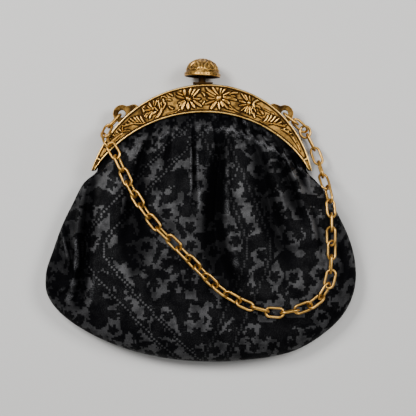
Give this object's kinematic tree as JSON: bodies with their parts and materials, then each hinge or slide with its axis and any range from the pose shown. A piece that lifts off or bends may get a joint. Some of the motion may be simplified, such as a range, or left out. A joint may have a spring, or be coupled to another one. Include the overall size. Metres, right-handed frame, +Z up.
{
  "type": "evening purse",
  "caption": "Evening purse: gathered black silk bag on an arched gilt frame cast with flowers, with a press knob clasp and a carrying chain of oblong links.",
  "frame": {"origin": "on the flat cloth back that the purse lies on, below the middle of the bag", "axes": "+Z up out of the front of the lying purse, +Y from the bag's bottom towards the press knob, +X to the right"},
  "size_m": [0.1936, 0.188, 0.0385],
  "materials": {
    "silk": "satin jacquard weave",
    "cast_gilt": "aged gilt, darker in the recesses",
    "chain_gilt": "worn bright gilt",
    "pin_brass": "dull"
  },
  "bodies": {
    "purse": {"bag": "silk", "frame_front": "cast_gilt", "frame_back": "cast_gilt", "catch_plate": "cast_gilt", "hinge_left": "pin_brass", "hinge_right": "pin_brass", "link_01": "chain_gilt", "link_02": "chain_gilt", "link_03": "chain_gilt", "link_04": "chain_gilt", "link_05": "chain_gilt", "link_06": "chain_gilt", "link_07": "chain_gilt", "link_08": "chain_gilt", "link_09": "chain_gilt", "link_10": "chain_gilt", "link_11": "chain_gilt", "link_12": "chain_gilt", "link_13": "chain_gilt", "link_14": "chain_gilt", "link_15": "chain_gilt", "link_16": "chain_gilt", "link_17": "chain_gilt", "link_18": "chain_gilt", "link_19": "chain_gilt", "link_20": "chain_gilt", "link_21": "chain_gilt", "link_22": "chain_gilt", "link_23": "chain_gilt", "link_24": "chain_gilt", "link_25": "chain_gilt", "link_26": "chain_gilt", "link_27": "chain_gilt", "link_28": "chain_gilt", "link_29": "chain_gilt", "link_30": "chain_gilt", "link_31": "chain_gilt", "link_32": "chain_gilt", "link_33": "chain_gilt", "link_34": "chain_gilt", "link_35": "chain_gilt", "link_36": "chain_gilt", "link_37": "chain_gilt", "link_38": "chain_gilt", "link_39": "chain_gilt"},
    "knob": {"press_knob": "cast_gilt"}
  },
  "joints": [
    {"name": "knob_press", "type": "slide", "parent": "purse", "child": "knob", "axis": [-0.0436, -0.999, 0], "range_m": [0, 0.0025], "stiffness_N_per_m": 1000}
  ]
}
